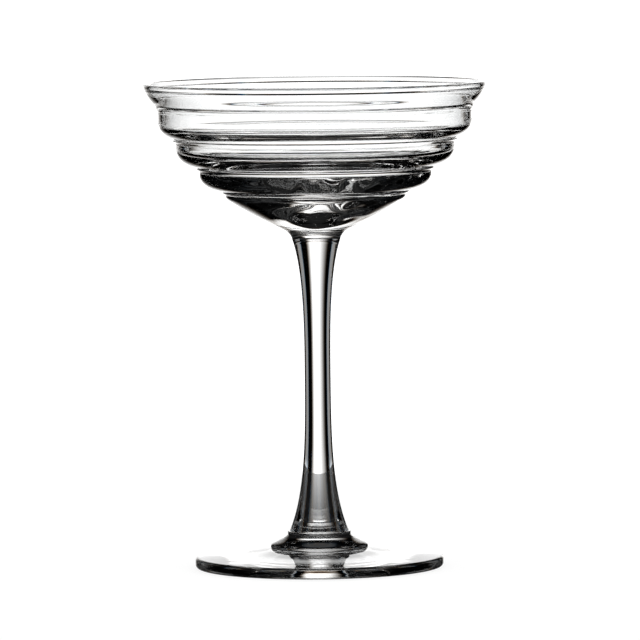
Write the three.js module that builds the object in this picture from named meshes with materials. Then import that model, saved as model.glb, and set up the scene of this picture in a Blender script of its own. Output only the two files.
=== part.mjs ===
// Cocktail coupe of clear glass: a blown bowl in stepped tiers on a drawn stem, a button and a spun foot.
// Every piece is turned about the Z axis. Sizes are in millimetres, and the origin is on the table,
// at the middle of the foot.
import * as THREE from "three";

// The foot is a thin disc that rises to a seat in the middle. It is hollowed below and stands on a flat
// ring near its edge.
const footRadius = 36.25;
const footEdgeThickness = 3.2;
const footEdgeRounding = 1.05;
const footSeatHeight = 5.6;
const footShoulderReach = 1.15;
const footShoulderDrop = 0.5;
const footSlopeReach = 6.55;
const footSlopeSpread = 1.6;
const footSlopeDrop = 1.9;
const restRingWidth = 3.0;
const hollowHeight = 4.2;
const hollowFlatRadius = 14.9;
const hollowEase = 14.5;

// The button is a flat bead of glass with a thin rim below and a collar that the stem stands on.
const buttonRadius = 14.25;
const buttonHeight = 4.95;
const buttonSeatRadius = 13.85;
const buttonRimRise = 0.55;
const buttonShoulder = 1.1;
const buttonSlopeReach = 1.8;
const buttonSlopeDrop = 1.65;
const collarRadius = 9.15;
const collarHeight = 1.1;

// The stem is one solid rod that is narrowest above its middle and flares at both ends.
const stemHeight = 85.15;
const stemWaistHeight = 49.75;
const stemWaistRadius = 3.8;
const stemBottomRadius = 8.65;
const stemBottomLean = 5.0;
const stemBottomReach = 11.9;
const stemTopRadius = 7.05;
const stemTopLean = 2.5;
const stemTopReach = 7.0;
const stemWaistReachDown = 20.35;
const stemWaistReachUp = 15.6;

// The bowl ends below in a solid neck, and its tiers are stacked from the basin up to the rim.
const neckHeight = 2.7;
const neckRise = 0.9;
const neckFlare = 2.05;
const neckEase = 1.0;
const basinHeight = 11.5;
const basinRadius = 26.25;
const basinSpread = 5.0;
const basinLift = 2.5;
const lowerTierHeight = 7.0;
const lowerTierRadius = 33.8;
const middleTierHeight = 8.3;
const middleTierRadius = 40.7;
const upperTierHeight = 9.0;
const upperTierRadius = 45.8;
const rimTierHeight = 7.3;
const rimRadius = 50;
const beadWidth = 1.8;
const beadOverhang = 0.45;
const beadInset = 0.4;
const beadNeck = 1.85;

// Each tier turns under in a round corner to a crease, below which the next tier ends in a small lip.
const basinCornerHeight = 1.4;
const lowerCornerHeight = 4.85;
const middleCornerHeight = 6.4;
const upperCornerHeight = 5.7;
const undersideRise = 0.6;
const creaseDepth = 0.3;
const tierLipFlare = 0.9;
const tierLipHeight = 1.55;
const tierLipEdge = 0.4;

// The rim tier leaves a crease round the top of the tier below it and flares out to a round bead.
const rimCreaseDepth = 0.4;
const rimCreaseInset = 0.2;
const rimCreaseSpread = 0.5;
const rimCreaseRise = 1.1;
const flareReach = 2.1;
const flareRise = 2.35;
const flareLean = 0.8;
const flareHeight = 3.7;

// Inside, each tier has an upright wall, a round corner, and a ledge that ends in the shoulder of the next.
const upperWall = 1.35;
const upperLedge = 3.05;
const upperInnerCorner = 1.95;
const middleWall = 2.8;
const middleShoulder = 4.4;
const middleLedge = 3.45;
const middleInnerCorner = 2.6;
const lowerWall = 3.2;
const lowerShoulder = 1.9;
const lowerLedge = 4.15;
const lowerInnerCorner = 1.3;
const basinWall = 2.55;
const basinShoulder = 0.6;
const basinInnerDrop = 3.95;
const basinInnerReach = 1.85;
const basinFloor = 8.65;

// Where two pieces are fused, their edges are melted back a little, which leaves a fine groove.
const seamDepth = 0.2;

// How far a corner keeps to the flat underside and to the upright wall before it turns.
const lowerCornerShares = [0.88, 0.2];
const middleCornerShares = [0.58, 0.6];
const upperCornerShares = [0.31, 0.69];
const upperInnerShares = [0.72, 0.6];
const middleInnerShares = [0.77, 0.6];
const lowerInnerShares = [0.07, 0.6];
const halfShare = 0.5;

const turnSteps = 48;
const curveSteps = 4;
const stemCurveSteps = 9;

const stemFoot = footSeatHeight + buttonHeight;
const bowlFoot = stemFoot + stemHeight;

// Clear, faintly grey soda-lime glass with a polished surface.
function clearGlass(opacity) {
  return new THREE.MeshStandardMaterial({
    color: 0xf1f5f5,
    roughness: 0.02,
    metalness: 0,
    transparent: true,
    opacity,
  });
}

// A solid of revolution about Z from a half section drawn as radius and height.
function turned(name, section, steps, glass) {
  const geometry = new THREE.LatheGeometry(section.getPoints(steps), turnSteps);
  geometry.rotateX(Math.PI / 2);
  const piece = new THREE.Mesh(geometry, glass);
  piece.name = name;
  return piece;
}

function foot() {
  const flatRadius = footRadius - footEdgeRounding;
  const hollowRadius = flatRadius - restRingWidth;
  const upperEdge = footEdgeThickness - footEdgeRounding;
  const shoulderRadius = buttonSeatRadius + footShoulderReach;
  const shoulderHeight = footSeatHeight - footShoulderDrop;
  const section = new THREE.Path();
  section.moveTo(0, hollowHeight);
  section.bezierCurveTo(
    hollowFlatRadius, hollowHeight,
    hollowRadius - hollowEase, 0,
    hollowRadius, 0,
  );
  section.lineTo(flatRadius, 0);
  section.absarc(flatRadius, footEdgeRounding, footEdgeRounding, -Math.PI / 2, 0);
  section.lineTo(footRadius, upperEdge);
  section.absarc(flatRadius, upperEdge, footEdgeRounding, 0, Math.PI / 2);
  section.bezierCurveTo(
    shoulderRadius + footSlopeReach, footEdgeThickness,
    shoulderRadius + footSlopeSpread, footSeatHeight - footSlopeDrop,
    shoulderRadius, shoulderHeight,
  );
  section.quadraticCurveTo(
    shoulderRadius - footShoulderReach * halfShare, footSeatHeight,
    buttonSeatRadius, footSeatHeight,
  );
  section.lineTo(0, footSeatHeight);
  return turned("foot", section, curveSteps, clearGlass(0.3));
}

function button() {
  const rimHeight = footSeatHeight + buttonRimRise;
  const collarFoot = stemFoot - collarHeight;
  const section = new THREE.Path();
  section.moveTo(0, footSeatHeight);
  section.lineTo(buttonSeatRadius, footSeatHeight);
  section.quadraticCurveTo(buttonRadius, footSeatHeight, buttonRadius, rimHeight);
  section.bezierCurveTo(
    buttonRadius, rimHeight + buttonShoulder,
    collarRadius + buttonSlopeReach, collarFoot - buttonSlopeDrop,
    collarRadius, collarFoot,
  );
  section.lineTo(collarRadius, stemFoot - seamDepth);
  section.lineTo(collarRadius - seamDepth, stemFoot);
  section.lineTo(0, stemFoot);
  return turned("button", section, curveSteps, clearGlass(0.4));
}

function stem() {
  const waist = stemFoot + stemWaistHeight;
  const section = new THREE.Path();
  section.moveTo(0, stemFoot);
  section.lineTo(stemBottomRadius - seamDepth, stemFoot);
  section.lineTo(stemBottomRadius, stemFoot + seamDepth);
  section.bezierCurveTo(
    stemBottomRadius - stemBottomLean, stemFoot + stemBottomReach,
    stemWaistRadius, waist - stemWaistReachDown,
    stemWaistRadius, waist,
  );
  section.bezierCurveTo(
    stemWaistRadius, waist + stemWaistReachUp,
    stemTopRadius - stemTopLean, bowlFoot - stemTopReach,
    stemTopRadius, bowlFoot - seamDepth,
  );
  section.lineTo(stemTopRadius - seamDepth, bowlFoot);
  section.lineTo(0, bowlFoot);
  return turned("stem", section, stemCurveSteps, clearGlass(0.4));
}

// A tier's round corner, from the crease below it out and up to its upright wall.
function turnCorner(section, from, radius, height, shares) {
  const [flatShare, uprightShare] = shares;
  const top = from.y + height;
  section.bezierCurveTo(
    from.x + (radius - from.x) * flatShare, from.y + undersideRise,
    radius, top - height * uprightShare,
    radius, top,
  );
}

// The rest of a tier's wall, its small lip, and the way back into the crease above it.
function climbLip(section, radius, top) {
  section.lineTo(radius, top - tierLipHeight);
  section.quadraticCurveTo(
    radius, top - tierLipHeight * halfShare,
    radius + tierLipFlare, top - tierLipEdge,
  );
  section.lineTo(radius + creaseDepth, top);
  return new THREE.Vector2(radius + creaseDepth, top);
}

// The inside of one tier, from its wall down round the corner and along the ledge to the next shoulder.
function descendTier(section, radius, ledge, cornerHeight, shares, nextRadius, nextShoulder) {
  const [flatShare, uprightShare] = shares;
  const shoulderRadius = nextRadius + nextShoulder;
  section.lineTo(radius, ledge + cornerHeight);
  section.bezierCurveTo(
    radius, ledge + cornerHeight * (1 - uprightShare),
    shoulderRadius + (radius - shoulderRadius) * flatShare, ledge,
    shoulderRadius, ledge,
  );
  section.quadraticCurveTo(nextRadius, ledge, nextRadius, ledge - nextShoulder);
}

function bowl() {
  const basinFoot = bowlFoot + neckHeight;
  const basinTop = basinFoot + basinHeight;
  const lowerTop = basinTop + lowerTierHeight;
  const middleTop = lowerTop + middleTierHeight;
  const upperTop = middleTop + upperTierHeight;
  const rimTop = upperTop + rimTierHeight;
  const neckRadius = stemTopRadius + neckFlare;
  const basinCornerTop = basinTop - tierLipHeight;
  const beadFoot = rimTop - beadNeck;
  const beadHalf = beadWidth * halfShare;
  const beadMiddle = rimTop - beadHalf;

  // The outside: the neck, the basin, the tiers with their lips and creases, and the flare.
  const section = new THREE.Path();
  section.moveTo(0, bowlFoot);
  section.lineTo(stemTopRadius - seamDepth, bowlFoot);
  section.lineTo(stemTopRadius, bowlFoot + seamDepth);
  section.bezierCurveTo(
    stemTopRadius, bowlFoot + neckRise,
    neckRadius - neckEase, basinFoot - neckEase * (basinLift / basinSpread),
    neckRadius, basinFoot,
  );
  section.bezierCurveTo(
    neckRadius + basinSpread, basinFoot + basinLift,
    basinRadius, basinCornerTop - basinCornerHeight,
    basinRadius, basinCornerTop,
  );
  const basinCrease = climbLip(section, basinRadius, basinTop);
  turnCorner(section, basinCrease, lowerTierRadius, lowerCornerHeight, lowerCornerShares);
  const lowerCrease = climbLip(section, lowerTierRadius, lowerTop);
  turnCorner(section, lowerCrease, middleTierRadius, middleCornerHeight, middleCornerShares);
  const middleCrease = climbLip(section, middleTierRadius, middleTop);
  turnCorner(section, middleCrease, upperTierRadius, upperCornerHeight, upperCornerShares);
  section.lineTo(upperTierRadius, upperTop - tierLipHeight);
  section.lineTo(upperTierRadius + rimCreaseDepth, upperTop - tierLipEdge);
  section.lineTo(upperTierRadius + rimCreaseDepth + rimCreaseSpread, upperTop + rimCreaseRise);
  section.bezierCurveTo(
    upperTierRadius + flareReach, upperTop + flareRise,
    rimRadius - beadOverhang - flareLean, upperTop + flareHeight,
    rimRadius - beadOverhang, beadFoot,
  );

  // The bead swells a little past both faces of the wall.
  section.lineTo(rimRadius, beadMiddle);
  section.absarc(rimRadius - beadHalf, beadMiddle, beadHalf, 0, Math.PI);
  section.lineTo(rimRadius - beadWidth + beadInset, beadFoot);

  // The inside: the flare, then ledge by ledge down to the round floor of the basin.
  const upperInside = upperTierRadius - upperWall;
  const middleInside = middleTierRadius - middleWall;
  const lowerInside = lowerTierRadius - lowerWall;
  const basinInside = basinRadius - basinWall;
  const creaseInside = upperInside + rimCreaseInset + rimCreaseSpread;
  section.bezierCurveTo(
    rimRadius - beadWidth + beadInset - flareLean, upperTop + flareHeight,
    upperInside + flareReach - rimCreaseInset, upperTop + flareRise,
    creaseInside, upperTop + rimCreaseRise,
  );
  section.quadraticCurveTo(upperInside, upperTop, upperInside, upperTop - tierLipHeight);
  descendTier(
    section, upperInside, middleTop + upperLedge, upperInnerCorner, upperInnerShares,
    middleInside, middleShoulder,
  );
  descendTier(
    section, middleInside, lowerTop + middleLedge, middleInnerCorner, middleInnerShares,
    lowerInside, lowerShoulder,
  );
  descendTier(
    section, lowerInside, basinTop + lowerLedge, lowerInnerCorner, lowerInnerShares,
    basinInside, basinShoulder,
  );
  section.bezierCurveTo(
    basinInside, basinTop + lowerLedge - basinShoulder - basinInnerDrop,
    basinInnerReach, bowlFoot + basinFloor,
    0, bowlFoot + basinFloor,
  );
  return turned("bowl", section, curveSteps, clearGlass(0.25));
}

const coupe = new THREE.Group();
coupe.name = "cocktail_coupe";
coupe.add(foot(), button(), stem(), bowl());

export default coupe;
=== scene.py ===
import math

import bpy
from mathutils import Matrix, Vector


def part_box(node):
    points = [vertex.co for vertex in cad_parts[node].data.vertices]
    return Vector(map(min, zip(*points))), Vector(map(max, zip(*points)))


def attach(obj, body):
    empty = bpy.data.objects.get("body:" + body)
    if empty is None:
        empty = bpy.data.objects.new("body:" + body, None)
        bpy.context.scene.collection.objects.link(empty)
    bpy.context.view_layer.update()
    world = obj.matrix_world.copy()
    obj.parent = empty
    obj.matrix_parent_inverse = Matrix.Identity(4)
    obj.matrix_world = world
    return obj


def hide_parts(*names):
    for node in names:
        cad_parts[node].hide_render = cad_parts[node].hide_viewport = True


# A cocktail coupe of clear glass in four gathers: foot, button, stem and bowl, each fused hot to the next.
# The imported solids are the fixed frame, and every piece below takes the place of one of them.
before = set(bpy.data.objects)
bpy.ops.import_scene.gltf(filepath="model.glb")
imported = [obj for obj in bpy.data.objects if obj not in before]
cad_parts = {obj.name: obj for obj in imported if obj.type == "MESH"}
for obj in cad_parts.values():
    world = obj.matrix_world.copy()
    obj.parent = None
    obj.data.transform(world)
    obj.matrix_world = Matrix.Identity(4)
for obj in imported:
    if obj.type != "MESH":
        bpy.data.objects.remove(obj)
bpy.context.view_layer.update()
bpy.ops.object.select_all(action="DESELECT")
scene = bpy.context.scene
scene.view_settings.view_transform = "Standard"

# The camera of a tabletop shot: a long lens about two metres away, a little above the rim,
# tipped down towards the middle of the stem and turned a hair clockwise.
camera_distance = 1.97
camera_height = 0.214
camera_aside = 0.00085
camera_tilt = math.radians(-4.12)
camera_roll = math.radians(-0.605)
camera_lens = 381.3
bpy.ops.object.camera_add(location=(camera_aside, -camera_distance, camera_height))
camera = bpy.context.object
look = Vector((0, math.cos(camera_tilt), math.sin(camera_tilt))).to_track_quat("-Z", "Y")
camera.rotation_euler = (look.to_matrix() @ Matrix.Rotation(camera_roll, 3, "Z")).to_euler()
camera.data.lens = camera_lens
camera.data.clip_start = 0.05
camera.data.clip_end = 20
scene.camera = camera


class Wire:
    """One output of a node. Sums, differences and products on it add Math nodes."""

    def __init__(self, shader, socket):
        self.shader = shader
        self.socket = socket

    def output(self, name):
        return Wire(self.shader, self.socket.node.outputs[name])

    def math(self, operation, *values):
        return self.shader.node("ShaderNodeMath", self, *values, settings={"operation": operation})

    def __add__(self, other):
        return self.math("ADD", other)

    def __radd__(self, other):
        return self.math("ADD", other)

    def __sub__(self, other):
        return self.math("SUBTRACT", other)

    def __rsub__(self, other):
        return self.shader.node("ShaderNodeMath", other, self, settings={"operation": "SUBTRACT"})

    def __mul__(self, other):
        return self.math("MULTIPLY", other)

    def __rmul__(self, other):
        return self.math("MULTIPLY", other)


class Shader:
    """The emptied node tree of a finish or of the studio. One method adds, sets up and links any node."""

    def __init__(self, owner):
        owner.use_nodes = True
        self.tree = owner.node_tree
        self.tree.nodes.clear()

    def node(self, kind, *values, settings=None, give=0, **named):
        node = self.tree.nodes.new(kind)
        for name, setting in (settings or {}).items():
            setattr(node, name, setting)
        places = list(zip(node.inputs, values))
        places += [(node.inputs[name.replace("_", " ")], value) for name, value in named.items()]
        for place, value in places:
            if isinstance(value, Wire):
                self.tree.links.new(value.socket, place)
            else:
                place.default_value = value
        return Wire(self, node.outputs[give]) if node.outputs else node


def ramp(value, start, end):
    return value.shader.node(
        "ShaderNodeMapRange", value, start, end, settings={"interpolation_type": "SMOOTHSTEP"}
    )


def panel(value, low, high, low_soft, high_soft):
    opens = ramp(value, low - low_soft / 2, low + low_soft / 2)
    closes = ramp(value, high - high_soft / 2, high + high_soft / 2)
    return opens * (1 - closes)


# The studio is what the glass shows: a bright backdrop behind it between black flags. Lit posts round the
# rest show only along short light paths, so the glass is clear from every side. The camera itself sees
# plain white. A panel is given by its two edges, in degrees, and by how soft each of them is.
backdrop_sides = (-12, 14, 24, 11)
backdrop_sides_deep = (-12, 10, 9, 5)
backdrop_ends = (-23, 26, 14, 7)
backdrop_light = 1.7
backdrop_light_lost = 0.3
post_spacing = 45
post_side = (7, 12)
post_top = (28, 38)
post_light = 0.9
front_post_light_lost = 0.65
floor_post_top = (-32, -28)
overhead_edge = (45, 55)
overhead_light = 0.05
studio = bpy.data.worlds.new("studio")
scene.world = studio
light = Shader(studio)
path = light.node("ShaderNodeLightPath", give="Is Camera Ray")
straight = path.output("Transmission Depth").math("LESS_THAN", 4.5)
unbent = path.output("Glossy Depth").math("LESS_THAN", 0.5) * straight
deep = path.output("Transmission Depth").math("GREATER_THAN", 2.5)
mirrored = path.output("Glossy Depth").math("LESS_THAN", 1.5) * straight
aside = light.node("ShaderNodeSeparateXYZ", light.node("ShaderNodeTexCoord", give="Generated"))
bearing = aside.math("ARCTAN2", aside.output("Y")).math("DEGREES")
rise = aside.output("Z").math("ARCSINE").math("DEGREES")


def studio_light(bearing, rise):
    backdrop = panel(bearing, *backdrop_sides) * panel(rise, *backdrop_ends)
    backdrop = backdrop * (backdrop_light - unbent * backdrop_light_lost)
    backdrop = backdrop * (1 - deep * (1 - panel(bearing, *backdrop_sides_deep)))

    turn = bearing.math("ABSOLUTE")
    half_way = post_spacing / 2
    off_post = ((bearing + (360 + half_way)).math("MODULO", post_spacing) - half_way).math("ABSOLUTE")
    post = 1 - ramp(off_post, *post_side)
    front = 1 - ramp(turn, 60, 70)
    upright = post * ramp(turn, 20, 25) * (1 - ramp(rise, *post_top))
    upright = upright * (1 - front * ramp(rise, -14, -11) * front_post_light_lost)
    below = post * (1 - ramp(rise, *floor_post_top))
    shown = unbent.math("MAXIMUM", mirrored * ramp(rise, 0, 2))
    ring = upright.math("MAXIMUM", below) * shown * post_light

    overhead = ramp(rise, *overhead_edge) * overhead_light
    return backdrop.math("MAXIMUM", ring).math("MAXIMUM", overhead)


# Glass bends blue a little more than red, which leaves thin coloured fringes along the panels' edges.
unseen = path.math("MAXIMUM", path.output("Is Diffuse Ray") * 0.9)
spread = 0.009
colours = [
    studio_light(bearing * bend, rise * bend).math("MAXIMUM", unseen)
    for bend in (1 - spread, 1, 1 + spread)
]
sky = light.node("ShaderNodeBackground", light.node("ShaderNodeCombineColor", *colours), 1)
light.node("ShaderNodeOutputWorld", sky)

# Glass needs long light paths: a ray crosses up to a dozen polished faces in the tiers alone.
scene.cycles.max_bounces = 48
scene.cycles.transmission_bounces = 48
scene.cycles.glossy_bounces = 24
scene.cycles.transparent_max_bounces = 48

# The table is pale to the camera, and its white edge melts into the backdrop with a faint shadow round the
# foot. Only the glass shows the polished plate under it. The plate's ground is painted light: a pale glow to
# light that comes down steeply through thin glass, or at any angle through the foot round the button, and a
# painted black shade to all the rest.
table_radius = 0.284
table_gap = 0.0002
plate_radius = 0.128
plate_edge_soft = 0.001
plate_roughness = 0.02
plate_index = 1.5
plate_slant = (0.2, 0.35)
# The ring under the foot, round the button, where the plate glows with painted light.
painted_glow_ring = (0.017, 0.037, 0.006, 0.002)
pale_light = 0.85
# The plate's black ground is painted shade.
painted_shade_level = 0.01
bpy.ops.mesh.primitive_circle_add(
    vertices=96, radius=table_radius, fill_type="NGON", location=(0, 0, -table_gap)
)
table = bpy.context.object
table.name = "table"
bpy.ops.object.transform_apply(location=True)
table_top = bpy.data.materials.new("pale_table_with_painted_light_plate")
table.data.materials.append(table_top)
board = Shader(table_top)
white = (1, 1, 1, 1)
matte = board.node("ShaderNodeBsdfDiffuse", (0.2, 0.2, 0.2, 1))
glow = board.node("ShaderNodeEmission", white, pale_light)
pale = board.node("ShaderNodeAddShader", matte, glow)
past = board.node("ShaderNodeBsdfTransparent", white)
centre = board.node(
    "ShaderNodeVectorMath",
    board.node("ShaderNodeTexCoord", give="Object"),
    settings={"operation": "LENGTH"},
    give="Value",
)
route = board.node("ShaderNodeLightPath", give="Is Camera Ray")
not_mirrored = route.output("Glossy Depth").math("LESS_THAN", 0.5)
thin = not_mirrored * route.output("Transmission Depth").math("LESS_THAN", 2.5)
# How steeply a ray meets the plate sets where its painted glow shows.
slant = ramp(board.node("ShaderNodeLayerWeight", 0.5, give="Facing"), *plate_slant)
painted_glow_under_foot = panel(centre, *painted_glow_ring)
# Painted light and shade on the plate: a pale glow for thin steep paths and under the foot, black elsewhere.
painted_glow_and_shade = board.node(
    "ShaderNodeMixShader",
    thin * (1 - slant).math("MAXIMUM", painted_glow_under_foot),
    board.node("ShaderNodeEmission", white, painted_shade_level),
    board.node("ShaderNodeEmission", white, pale_light),
)
mirror = board.node("ShaderNodeBsdfAnisotropic", white, plate_roughness)
polished = board.node("ShaderNodeMixShader", board.node("ShaderNodeFresnel", plate_index), painted_glow_and_shade, mirror)
plate_edge = ramp(centre, plate_radius - plate_edge_soft, plate_radius + plate_edge_soft)
plate = board.node("ShaderNodeMixShader", plate_edge, polished, past)
board.node("ShaderNodeOutputMaterial", board.node("ShaderNodeMixShader", route, plate, pale))

# The foot is a disc of clear soda-lime glass, spun from a small gather and polished by the fire. It rises
# to a seat in the middle, is hollowed below, and stands on a flat ring near its rounded edge.
clear_glass = bpy.data.materials.new("clear_glass")
glass = Shader(clear_glass)
place = glass.node("ShaderNodeTexCoord", give="Object")
swell = glass.node("ShaderNodeTexNoise", Vector=place, Scale=70, Detail=1)
ripple = glass.node("ShaderNodeBump", Strength=0.5, Distance=0.00003, Height=swell)
body = glass.node(
    "ShaderNodeBsdfPrincipled",
    Base_Color=(0.99, 0.995, 0.995, 1),
    Roughness=0,
    IOR=1.52,
    Transmission_Weight=1,
    Normal=ripple,
)
glass.node("ShaderNodeOutputMaterial", body)

# Where two gathers are fused there is no face left, so light goes straight through.
fused_glass = bpy.data.materials.new("fused_glass")
fused = Shader(fused_glass)
fused.node("ShaderNodeOutputMaterial", fused.node("ShaderNodeBsdfTransparent", (1, 1, 1, 1)))


class Outline:
    """A half section drawn with a pen as radius and height in millimetres, which a lathe then turns."""

    def __init__(self, radius, height):
        self.knots = [[(radius, height), (radius, height), (radius, height)]]

    def at(self):
        return self.knots[-1][1]

    def line(self, radius, height):
        x, z = self.at()
        self.curve(
            (x + (radius - x) / 3, z + (height - z) / 3),
            (x + (radius - x) * 2 / 3, z + (height - z) * 2 / 3),
            (radius, height),
        )

    def curve(self, leave, arrive, end):
        self.knots[-1][2] = leave
        self.knots.append([arrive, end, end])

    def bend(self, corner, end):
        x, z = self.at()
        self.curve(
            (x + (corner[0] - x) * 2 / 3, z + (corner[1] - z) * 2 / 3),
            (end[0] + (corner[0] - end[0]) * 2 / 3, end[1] + (corner[1] - end[1]) * 2 / 3),
            end,
        )


millimetre = 0.001
lathe_steps = 192


def turn_glass(name, outline, seams, steps_per_curve=12):
    """Turns a half section about the stem's axis. Flat faces at a seam get the fused glass."""
    bpy.ops.curve.primitive_bezier_curve_add(enter_editmode=False)
    section = bpy.context.object
    section.name = name
    section.data.resolution_u = steps_per_curve
    spline = section.data.splines[0]
    spline.bezier_points.add(len(outline.knots) - len(spline.bezier_points))
    for point, knot in zip(spline.bezier_points, outline.knots):
        point.handle_left_type = "FREE"
        point.handle_right_type = "FREE"
        arrive, place, leave = (Vector((r, 0, z)) * millimetre for r, z in knot)
        point.co = place
        point.handle_left = arrive
        point.handle_right = leave
    bpy.ops.object.convert(target="MESH")
    bpy.ops.object.mode_set(mode="EDIT")
    bpy.ops.mesh.select_all(action="SELECT")
    bpy.ops.mesh.spin(steps=lathe_steps, angle=math.tau, center=(0, 0, 0), axis=(0, 0, 1))
    bpy.ops.mesh.select_all(action="SELECT")
    bpy.ops.mesh.remove_doubles(threshold=0.000002)
    bpy.ops.mesh.normals_make_consistent(inside=False)
    bpy.ops.object.mode_set(mode="OBJECT")
    bpy.ops.object.shade_smooth_by_angle(angle=math.radians(40))
    piece = bpy.context.object
    piece.data.name = name
    piece.data.materials.append(clear_glass)
    piece.data.materials.append(fused_glass)
    for face in piece.data.polygons:
        for height, radius in seams:
            level = abs(face.center.z - height * millimetre) < 1e-6
            within = math.hypot(*face.center.xy) < radius * millimetre
            if level and within and abs(face.normal.z) > 0.999:
                face.material_index = 1
                face.use_smooth = False
    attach(piece, "root")
    return piece


foot_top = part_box("foot")[1].z / millimetre
foot_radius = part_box("foot")[1].x / millimetre
foot_edge = 3.2
foot_rounding = 1.05
hollow_height = 4.2
hollow_flat = 14.9
hollow_ease = 17.7
rest_ring = 32.2
seat = 13.85
shoulder = 15.0
shoulder_drop = 0.15
shoulder_tip = 14.3
flat = foot_radius - foot_rounding
half_round = foot_rounding * 0.45
outline = Outline(0, hollow_height)
outline.curve((hollow_flat, hollow_height), (hollow_ease, 0), (rest_ring, 0))
outline.line(flat, 0)
outline.curve(
    (flat + foot_rounding - half_round, 0),
    (foot_radius, half_round),
    (foot_radius, foot_rounding),
)
outline.line(foot_radius, foot_edge - foot_rounding)
outline.curve(
    (foot_radius, foot_edge - half_round),
    (foot_radius - half_round, foot_edge),
    (flat, foot_edge),
)
outline.curve((28.3, foot_edge + 0.75), (21.5, foot_top - 0.85), (shoulder, foot_top - shoulder_drop))
outline.bend((shoulder_tip, foot_top), (seat, foot_top))
outline.line(0, foot_top)
foot = turn_glass("foot_glass", outline, [(foot_top, seat)])
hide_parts("foot")

# The button is a flat bead of the same glass, pressed onto the foot while hot. A thin rim runs round its
# widest line, and a low collar on top takes the stem.
button_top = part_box("button")[1].z / millimetre
button_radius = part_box("button")[1].x / millimetre
button_rim = 0.55
collar = 9.15
collar_foot = button_top - 1.1
collar_rounding = 0.2
stem_bottom = 8.65
outline = Outline(0, foot_top)
outline.line(seat, foot_top)
outline.bend((button_radius, foot_top), (button_radius, foot_top + button_rim))
outline.curve((button_radius, foot_top + 1.65), (collar + 1.8, collar_foot - 1.65), (collar, collar_foot))
outline.line(collar, button_top - collar_rounding)
outline.bend((collar, button_top), (collar - collar_rounding, button_top))
outline.line(stem_bottom, button_top)
outline.line(0, button_top)
button = turn_glass("button_glass", outline, [(foot_top, seat), (button_top, stem_bottom)])
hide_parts("button")

# The stem is one solid rod of clear glass, drawn out hot, so it is narrowest above its middle and flares
# at both ends, where it is fused to the button and to the bowl's neck.
stem_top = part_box("stem")[1].z / millimetre
stem_neck = 7.05
waist = 3.8
waist_height = button_top + 49.75
stem_steps = 24
outline = Outline(0, button_top)
outline.line(stem_bottom, button_top)
outline.curve((stem_bottom - 5.0, button_top + 11.9), (waist, waist_height - 20.35), (waist, waist_height))
outline.curve((waist, waist_height + 15.6), (stem_neck - 2.5, stem_top - 7), (stem_neck, stem_top))
outline.line(0, stem_top)
stem = turn_glass(
    "stem_glass", outline, [(button_top, stem_bottom), (stem_top, stem_neck)], stem_steps
)
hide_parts("stem")

# The bowl is blown into a stepped mould: a solid neck, a round basin and three tiers with small lips under
# a flared rim with a round bead. Its inside follows the steps more softly, with a thick floor in each tier.
rim_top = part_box("bowl")[1].z / millimetre
rim_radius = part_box("bowl")[1].x / millimetre
basin_foot = stem_top + 2.7
basin_top = basin_foot + 11.5
lower_top = basin_top + 7.0
middle_top = lower_top + 8.3
upper_top = middle_top + 9.0
basin, lower, middle, upper = 26.25, 33.8, 40.7, 45.8
lip_height = 1.55
underside_rise = 0.6


def lip(radius, top):
    outline.line(radius, top - lip_height)
    outline.curve((radius, top - 1.03), (radius + 0.51, top - 0.72), (radius + 0.78, top - 0.52))
    outline.curve((radius + 0.96, top - 0.37), (radius + 0.91, top - 0.2), (radius + 0.68, top - 0.15))
    outline.curve((radius + 0.51, top - 0.11), (radius + 0.3, top - 0.08), (radius + 0.3, top))


def corner(radius, height, flat, upright):
    x, z = outline.at()
    outline.curve(
        (x + (radius - x) * flat, z + underside_rise),
        (radius, z + height * (1 - upright)),
        (radius, z + height),
    )


def ledge(radius, height, flat, floor, next_radius, rounding):
    shoulder = next_radius + rounding
    outline.line(radius, floor + height)
    outline.curve(
        (radius, floor + height * 0.4),
        (shoulder + (radius - shoulder) * flat, floor),
        (shoulder, floor),
    )
    outline.bend((next_radius, floor), (next_radius, floor - rounding))


outline = Outline(0, stem_top)
outline.line(stem_neck, stem_top)
outline.curve((stem_neck, stem_top + 0.9), (8.1, basin_foot - 0.6), (9.1, basin_foot))
outline.curve((14.1, basin_foot + 2.5), (basin, basin_top - 2.95), (basin, basin_top - lip_height))
lip(basin, basin_top)
corner(lower, 4.85, 0.88, 0.2)
lip(lower, lower_top)
corner(middle, 6.4, 0.58, 0.6)
lip(middle, middle_top)
corner(upper, 5.7, 0.31, 0.69)

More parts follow.
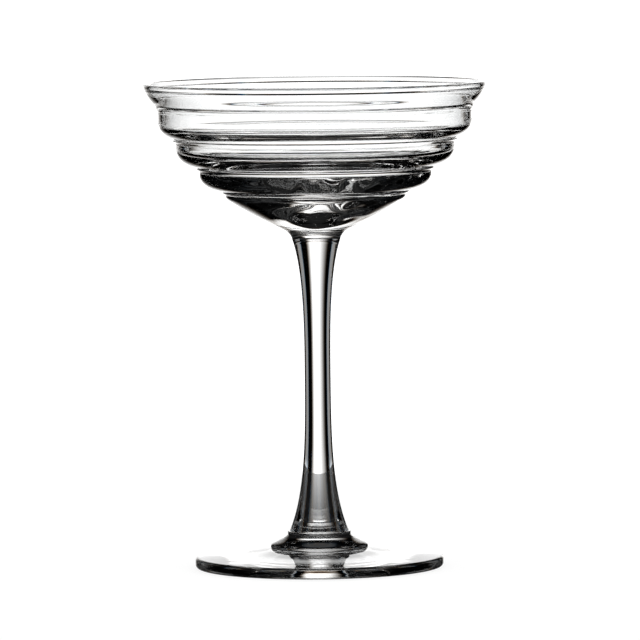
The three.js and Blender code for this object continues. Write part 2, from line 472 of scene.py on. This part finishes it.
# The crease under the flare, the flare, and the bead of the rim.
outline.line(upper, upper_top - 1.5)
outline.curve((upper, upper_top - 1.0), (upper + 0.2, upper_top - 0.75), (upper + 0.33, upper_top - 0.3))
outline.curve(
    (upper + 0.42, upper_top + 0.1),
    (upper + 0.5, upper_top + 0.68),
    (upper + 0.88, upper_top + 1.1),
)
bead = 1.82
bead_quarter = 0.41
bead_foot = rim_top - 1.86
bead_middle = rim_top - bead / 2
bead_inner = rim_radius - bead
outline.curve(
    (upper + 2.1, upper_top + 2.35),
    (rim_radius - 1.25, upper_top + 3.7),
    (rim_radius - 0.44, bead_foot),
)
outline.curve(
    (rim_radius - 0.4, bead_foot + 0.15),
    (rim_radius, bead_middle - 0.45),
    (rim_radius, bead_middle),
)
outline.curve(
    (rim_radius, rim_top - bead_quarter),
    (rim_radius - bead_quarter, rim_top),
    (rim_radius - bead / 2, rim_top),
)
outline.curve(
    (bead_inner + bead_quarter, rim_top),
    (bead_inner, rim_top - bead_quarter),
    (bead_inner, bead_middle),
)
outline.curve(
    (bead_inner, bead_middle - 0.45),
    (bead_inner + 0.36, bead_foot + 0.15),
    (bead_inner + 0.4, bead_foot),
)

# The inside, from the flare down over three ledges into the basin.
inside = 44.45
middle_inside = 37.9
lower_inside = 30.6
basin_inside = 23.7
basin_floor = stem_top + 8.63
outline.curve(
    (bead_inner - 0.4, upper_top + 3.7),
    (inside + 2.0, upper_top + 2.35),
    (inside + 0.82, upper_top + 1.1),
)
outline.curve((inside + 0.4, upper_top + 0.65), (inside, upper_top + 0.2), (inside, upper_top - 1.5))
ledge(inside, 1.97, 0.72, middle_top + 3.06, middle_inside, 4.4)
ledge(middle_inside, 2.58, 0.77, lower_top + 3.46, lower_inside, 1.9)
ledge(lower_inside, 1.28, 0.07, basin_top + 4.17, basin_inside, 0.57)
outline.curve((basin_inside, basin_top - 0.42), (1.85, basin_floor), (0, basin_floor))
bowl = turn_glass("bowl_glass", outline, [(stem_top, stem_neck)])

# Low inside, the glass keeps soft swirls from the blowing, most of them on the right.
swirl_reach = 30
swirl_top = basin_top + 8
swirl_size = 0.009
swirl_strength = 0.0013
swirled = bowl.vertex_groups.new(name="swirled")
for vertex in bowl.data.vertices:
    x, y, z = vertex.co / millimetre
    if vertex.normal.z > 0.15 and math.hypot(x, y) < swirl_reach and z < swirl_top:
        to_the_right = min(max(0.55 + x / 18, 0.2), 1)
        swirled.add([vertex.index], to_the_right, "REPLACE")
swirl = bpy.data.textures.new("blown_swirl", "CLOUDS")
swirl.noise_scale = swirl_size
bpy.ops.object.modifier_add(type="DISPLACE")
waves = bowl.modifiers[-1]
waves.texture = swirl
waves.texture_coords = "LOCAL"
waves.vertex_group = swirled.name
waves.strength = swirl_strength
bpy.ops.object.modifier_apply(modifier=waves.name)
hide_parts("bowl")
